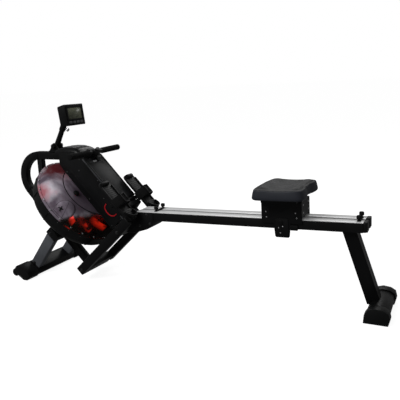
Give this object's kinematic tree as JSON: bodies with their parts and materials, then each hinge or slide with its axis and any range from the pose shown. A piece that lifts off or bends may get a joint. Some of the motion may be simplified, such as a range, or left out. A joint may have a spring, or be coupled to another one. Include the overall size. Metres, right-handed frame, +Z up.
{
  "type": "rowing machine",
  "caption": "Water rowing machine: tilted tank with an impeller, strap-pulled handle, foot plates, tilting console, and a padded seat that rolls along a rail on a rear leg.",
  "frame": {"origin": "on the floor, at the centre of the footprint box", "axes": "+X from the tank to the rear foot along the rail, +Y to the far side, +Z up"},
  "size_m": [2.14, 0.56, 0.9757],
  "materials": {
    "black_paint": "satin powder coat",
    "grey_paint": "satin powder coat",
    "black_plastic": "fine texture",
    "gloss_plastic": "gloss",
    "aluminium": "brushed",
    "rubber": "matte",
    "steel": "brushed",
    "red_plastic": "gloss",
    "clear_plastic": "clear",
    "seat_skin": "matte moulded skin",
    "webbing": "woven",
    "key_rubber": "matte"
  },
  "bodies": {
    "frame": {"frame_diagonal_tube": "black_paint", "leg_near": "black_paint", "leg_far": "black_paint", "leg_cross_bar": "black_paint", "strut_cross_beam": "black_paint", "strut_near": "grey_paint", "strut_far": "grey_paint", "tank_lower_shell": "black_plastic", "tank_upper_shell": "clear_plastic", "fill_plug": "black_plastic", "casing_face_panel": "gloss_plastic", "handle_rest": "black_plastic", "foot_bar": "black_paint", "foot_plate_near": "black_plastic", "foot_strap_near": "webbing", "foot_plate_far": "black_plastic", "foot_strap_far": "webbing", "rail_beam": "black_paint", "rail_track_near": "aluminium", "rail_track_far": "aluminium", "rail_end_cap": "black_plastic", "bumper_front": "rubber", "bumper_rear": "rubber", "frame_top_tube": "black_paint", "frame_front_bend": "black_paint", "tank_post": "black_paint", "front_stabilizer": "black_paint", "front_cap_near": "black_plastic", "front_cap_far": "black_plastic", "casing_near": "black_plastic", "casing_far": "black_plastic", "casing_top_cover": "black_plastic", "rail_bracket": "black_paint", "rear_leg": "black_paint", "rear_stabilizer": "black_paint", "rear_cap_near": "black_plastic", "rear_cap_far": "black_plastic", "mast_bracket": "black_plastic"},
    "seat": {"seat_carriage": "black_paint", "seat_pad": "seat_skin"},
    "seat_roller_front": {"roller_front": "rubber"},
    "seat_roller_rear": {"roller_rear": "rubber"},
    "seat_roller_under": {"roller_under": "rubber"},
    "handle": {"handle_bar": "black_paint", "handle_grip_near": "rubber", "handle_grip_far": "rubber", "pull_strap": "webbing"},
    "reel": {"strap_reel": "black_plastic"},
    "guide": {"guide_roller": "steel"},
    "rotor": {"impeller": "red_plastic"},
    "heel_cup_left": {"heel_cup_near": "black_plastic"},
    "heel_cup_right": {"heel_cup_far": "black_plastic"},
    "mast_arm": {"mast": "black_paint"},
    "console": {"console_body": "black_plastic"},
    "key_1": {"console_key_1": "key_rubber"},
    "key_2": {"console_key_2": "key_rubber"},
    "key_3": {"console_key_3": "key_rubber"},
    "key_4": {"console_key_4": "key_rubber"},
    "wheel_left": {"transport_wheel_near": "rubber"},
    "wheel_right": {"transport_wheel_far": "rubber"}
  },
  "joints": [
    {"name": "seat_slide", "type": "slide", "parent": "frame", "child": "seat", "axis": [0.9997, 0, 0.0236], "range_m": [-0.585, 0.232]},
    {"name": "roller_front_spin", "type": "hinge", "parent": "seat", "child": "seat_roller_front", "pos_m": [0.50343, 0, 0.44017], "axis": [0, 1, 0], "range_deg": [-1900, 800]},
    {"name": "roller_rear_spin", "type": "hinge", "parent": "seat", "child": "seat_roller_rear", "pos_m": [0.63039, 0, 0.44316], "axis": [0, 1, 0], "range_deg": [-1900, 800]},
    {"name": "roller_under_spin", "type": "hinge", "parent": "seat", "child": "seat_roller_under", "pos_m": [0.57123, 0, 0.36465], "axis": [0, 1, 0], "range_deg": [-1200, 2900]},
    {"name": "handle_pull", "type": "slide", "parent": "frame", "child": "handle", "axis": [1, 0, 0], "range_m": [0, 1.15], "stiffness_N_per_m": 15, "springref_m": -1},
    {"name": "reel_spin", "type": "hinge", "parent": "frame", "child": "reel", "pos_m": [-0.53961, 0, 0.52548], "axis": [0.7314, 0, 0.682], "range_deg": [-1150, 30]},
    {"name": "guide_spin", "type": "hinge", "parent": "frame", "child": "guide", "pos_m": [-0.54219, 0, 0.65434], "axis": [0, 1, 0], "range_deg": [-30, 5600]},
    {"name": "impeller_spin", "type": "hinge", "parent": "frame", "child": "rotor", "pos_m": [-0.642, 0, 0.43], "axis": [0.7314, 0, 0.682], "continuous": true},
    {"name": "heel_cup_near_slide", "type": "slide", "parent": "frame", "child": "heel_cup_left", "axis": [0.682, 0, -0.7314], "range_m": [-0.026, 0]},
    {"name": "heel_cup_far_slide", "type": "slide", "parent": "frame", "child": "heel_cup_right", "axis": [0.682, 0, -0.7314], "range_m": [-0.026, 0]},
    {"name": "mast_tilt", "type": "hinge", "parent": "frame", "child": "mast_arm", "pos_m": [-0.786, 0, 0.742], "axis": [0, 1, 0], "range_deg": [-25, 20]},
    {"name": "console_tilt", "type": "hinge", "parent": "mast_arm", "child": "console", "pos_m": [-0.70554, 0, 0.89], "axis": [0, 1, 0], "range_deg": [-25, 25]},
    {"name": "wheel_near_spin", "type": "hinge", "parent": "frame", "child": "wheel_left", "pos_m": [-0.984, -0.2225, 0.031], "axis": [0, 1, 0], "continuous": true},
    {"name": "wheel_far_spin", "type": "hinge", "parent": "frame", "child": "wheel_right", "pos_m": [-0.984, 0.2225, 0.031], "axis": [0, 1, 0], "continuous": true},
    {"name": "key_1_press", "type": "slide", "parent": "console", "child": "key_1", "axis": [-0.9945, 0, -0.1045], "range_m": [0, 0.0015], "stiffness_N_per_m": 400, "springref_m": -0.001},
    {"name": "key_2_press", "type": "slide", "parent": "console", "child": "key_2", "axis": [-0.9945, 0, -0.1045], "range_m": [0, 0.0015], "stiffness_N_per_m": 400, "springref_m": -0.001},
    {"name": "key_3_press", "type": "slide", "parent": "console", "child": "key_3", "axis": [-0.9945, 0, -0.1045], "range_m": [0, 0.0015], "stiffness_N_per_m": 400, "springref_m": -0.001},
    {"name": "key_4_press", "type": "slide", "parent": "console", "child": "key_4", "axis": [-0.9945, 0, -0.1045], "range_m": [0, 0.0015], "stiffness_N_per_m": 400, "springref_m": -0.001}
  ],
  "couplings": [
    {"joint": "roller_front_spin", "follows": "seat_slide", "rad_per_m": 55.556},
    {"joint": "roller_rear_spin", "follows": "seat_slide", "rad_per_m": 55.556},
    {"joint": "roller_under_spin", "follows": "seat_slide", "rad_per_m": -83.333},
    {"joint": "reel_spin", "follows": "handle_pull", "rad_per_m": -16.393},
    {"joint": "guide_spin", "follows": "handle_pull", "rad_per_m": 83.333}
  ]
}
